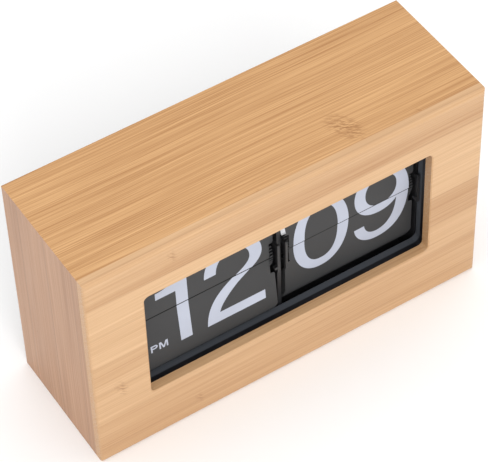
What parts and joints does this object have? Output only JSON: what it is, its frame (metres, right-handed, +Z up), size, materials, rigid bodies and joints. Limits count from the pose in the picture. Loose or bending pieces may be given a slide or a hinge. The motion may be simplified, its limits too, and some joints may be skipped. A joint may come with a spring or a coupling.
{
  "type": "flip number clock",
  "caption": "Desk clock in a bamboo box: split black leaves with white numerals fall over a turning drum behind a rounded window.",
  "frame": {"origin": "middle of the box's underside, on the surface it stands on", "axes": "+X right seen from the front, +Y towards the back, +Z up"},
  "size_m": [0.205, 0.0688, 0.1205],
  "materials": {
    "bamboo_front": "satin lacquered bamboo, strips along X",
    "bamboo_top": "satin lacquered bamboo, strips along X",
    "bamboo_side": "satin lacquered bamboo, strips upright",
    "plain_wood": "sawn",
    "bezel_black": "fine satin",
    "cover_black": "fine moulded texture",
    "plate_black": "satin",
    "catch_black": "satin",
    "drum_black": "satin",
    "leaf_black": "matt printed sheet",
    "gear_white": "moulded acetal",
    "brass": "turned",
    "bright_steel": "drawn",
    "screw_steel": "zinc plated",
    "contact_steel": "nickel plated",
    "motor_steel": "plated can",
    "cell_sleeve": "shrink sleeve",
    "board_green": "solder mask",
    "chip_black": "moulded"
  },
  "bodies": {
    "case": {"back_cover": "cover_black", "back_screws": "screw_steel", "base_screws": "screw_steel", "battery_cells": "cell_sleeve", "battery_contacts": "contact_steel", "battery_spring": "contact_steel", "battery_tray": "cover_black", "bezel_frame": "bezel_black", "bottom_board": "bamboo_top", "centre_plate": "plate_black", "circuit_board": "board_green", "compound_post": "bright_steel", "corner_blocks": "plain_wood", "drive_electronics": "chip_black", "drive_motor": "motor_steel", "front_panel": "bamboo_front", "hour_leaf_catches": "catch_black", "hour_leaf_lower": "leaf_black", "hour_leaf_next": "leaf_black", "hour_leaf_stack": "leaf_black", "hour_side_plate": "plate_black", "left_board": "bamboo_side", "minute_leaf_catches": "catch_black", "minute_leaf_lower": "leaf_black", "minute_leaf_next": "leaf_black", "minute_leaf_stack": "leaf_black", "minute_side_plate": "plate_black", "motor_pillars": "brass", "motor_screws": "screw_steel", "movement_base": "plate_black", "release_spring": "bright_steel", "right_board": "bamboo_side", "setting_post": "bright_steel", "tie_rods": "bright_steel", "top_board": "bamboo_top"},
    "minute_drum": {"minute_drum": "drum_black", "axle": "bright_steel", "minute_wheel": "gear_white", "cannon_pinion": "brass"},
    "hour_drum": {"hour_drum": "drum_black", "hour_wheel": "gear_white"},
    "compound_wheel": {"compound_wheel": "gear_white"},
    "motor_pinion": {"motor_pinion": "gear_white"},
    "setting_wheel": {"setting_wheel": "drum_black"},
    "minute_leaf": {"minute_leaf_upper": "leaf_black"},
    "hour_leaf": {"hour_leaf_upper": "leaf_black"},
    "battery_door": {"battery_door": "cover_black"}
  },
  "joints": [
    {"name": "minute_drum_turn", "type": "hinge", "parent": "case", "child": "minute_drum", "pos_m": [0, -0.0091, 0.06425], "axis": [1, 0, 0], "continuous": true},
    {"name": "hour_drum_turn", "type": "hinge", "parent": "case", "child": "hour_drum", "pos_m": [0, -0.0091, 0.06425], "axis": [1, 0, 0], "continuous": true},
    {"name": "compound_wheel_turn", "type": "hinge", "parent": "case", "child": "compound_wheel", "pos_m": [0, 0.0014, 0.08244], "axis": [1, 0, 0], "continuous": true},
    {"name": "motor_pinion_turn", "type": "hinge", "parent": "case", "child": "motor_pinion", "pos_m": [0, -0.01454, 0.04397], "axis": [1, 0, 0], "continuous": true},
    {"name": "setting_wheel_turn", "type": "hinge", "parent": "case", "child": "setting_wheel", "pos_m": [0, 0.0134, 0.06425], "axis": [1, 0, 0], "continuous": true},
    {"name": "minute_leaf_fall", "type": "hinge", "parent": "case", "child": "minute_leaf", "pos_m": [0, -0.02208, 0.06493], "axis": [1, 0, 0], "range_deg": [0, 181.5]},
    {"name": "hour_leaf_fall", "type": "hinge", "parent": "case", "child": "hour_leaf", "pos_m": [0, -0.02207, 0.0651], "axis": [1, 0, 0], "range_deg": [0, 175]},
    {"name": "battery_door_slide", "type": "slide", "parent": "case", "child": "battery_door", "axis": [0, 1, 0], "range_m": [0, 0.02]}
  ],
  "couplings": [
    {"joint": "hour_drum_turn", "follows": "minute_drum_turn", "ratio": 0.041667},
    {"joint": "compound_wheel_turn", "follows": "minute_drum_turn", "ratio": -0.25},
    {"joint": "motor_pinion_turn", "follows": "minute_drum_turn", "ratio": -6},
    {"joint": "setting_wheel_turn", "follows": "minute_drum_turn", "ratio": -4}
  ]
}
